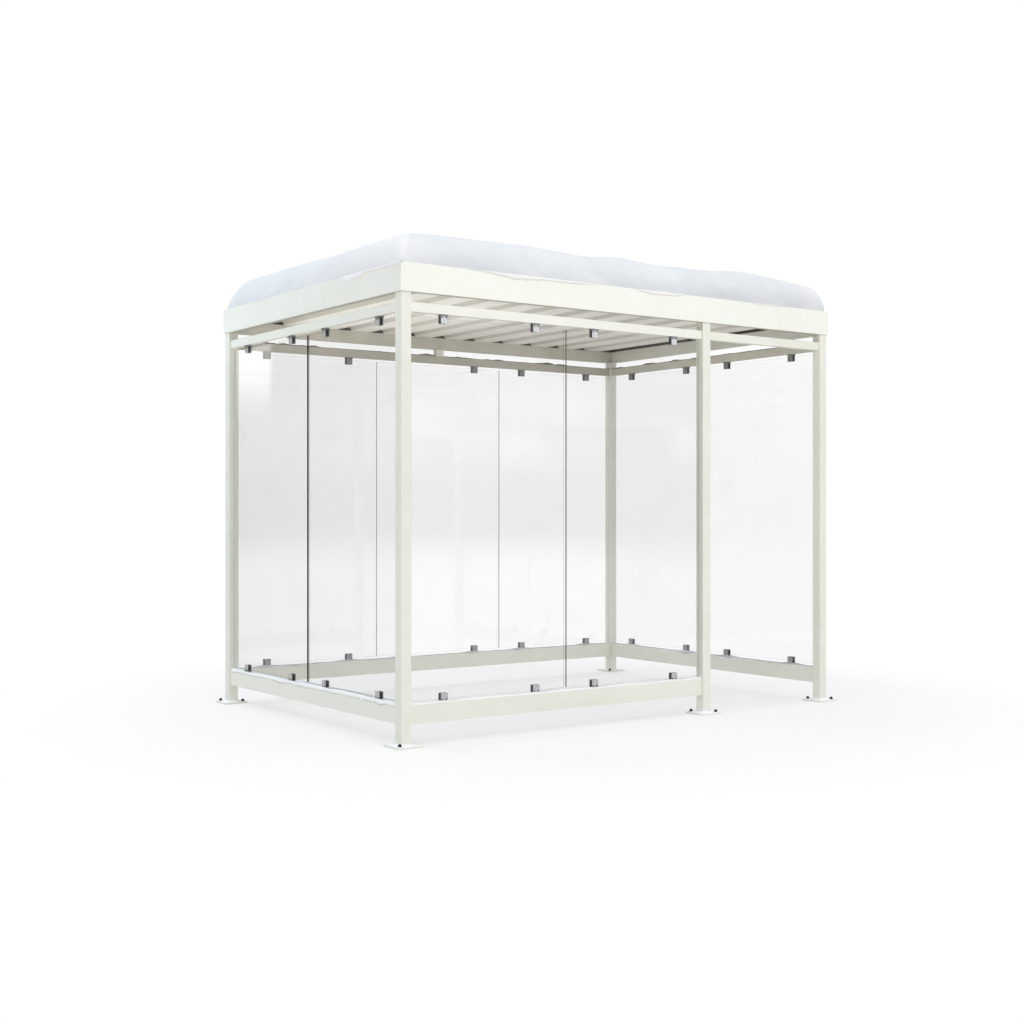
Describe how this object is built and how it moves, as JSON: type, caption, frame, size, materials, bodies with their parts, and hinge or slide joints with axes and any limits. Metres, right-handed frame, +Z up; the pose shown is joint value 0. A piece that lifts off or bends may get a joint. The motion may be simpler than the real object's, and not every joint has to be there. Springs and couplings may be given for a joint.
{
  "type": "smoking shelter",
  "caption": "Small glazed smoking shelter: square steel posts and rails, clamped clear glass walls, an open doorway, a flat ribbed roof in a deep fascia, and snow on it.",
  "frame": {"origin": "middle of the footprint, on the floor, under the middle of the roof", "axes": "+X along the long side towards the doorway end, +Y to the back wall, +Z up"},
  "size_m": [3.27, 2.255, 2.713],
  "materials": {
    "frame_coat": "cream-white powder coat, satin",
    "fascia_coat": "cream-white powder coat, satin",
    "deck_sheet": "pale warm grey coil coat, satin",
    "clear_glass": "clear toughened glass, polished edges",
    "clamp_metal": "satin brushed stainless steel",
    "anchor_caps": "black plastic, satin",
    "filler_foam": "dark grey closed-cell foam, matt",
    "snow": "settled snow, matt and slightly translucent"
  },
  "bodies": {
    "root": {"base_plates": "frame_coat", "post_front_left": "frame_coat", "post_back_left": "frame_coat", "post_door": "frame_coat", "post_front_right": "frame_coat", "post_back_right": "frame_coat", "lower_rail_front": "frame_coat", "lower_rail_back": "frame_coat", "lower_rail_left": "frame_coat", "lower_rail_right": "frame_coat", "upper_rail_front": "frame_coat", "upper_rail_back": "frame_coat", "upper_rail_left": "frame_coat", "upper_rail_right": "frame_coat", "door_header_rail": "frame_coat", "back_rail_stub": "frame_coat", "roof_beam_front": "frame_coat", "roof_beam_back": "frame_coat", "roof_beam_left": "frame_coat", "roof_beam_right": "frame_coat", "fascia_front": "fascia_coat", "fascia_back": "fascia_coat", "fascia_left": "fascia_coat", "fascia_right": "fascia_coat", "anchor_bolts": "anchor_caps", "roof_deck": "deck_sheet", "rib_fillers": "filler_foam", "glass_front_1": "clear_glass", "glass_front_2": "clear_glass", "glass_back_1": "clear_glass", "glass_back_2": "clear_glass", "glass_back_3": "clear_glass", "glass_left_1": "clear_glass", "glass_left_2": "clear_glass", "glass_right_1": "clear_glass", "glass_right_2": "clear_glass", "clamps_front": "clamp_metal", "clamps_back": "clamp_metal", "clamps_left": "clamp_metal", "clamps_right": "clamp_metal", "roof_snow": "snow"}
  },
  "joints": []
}
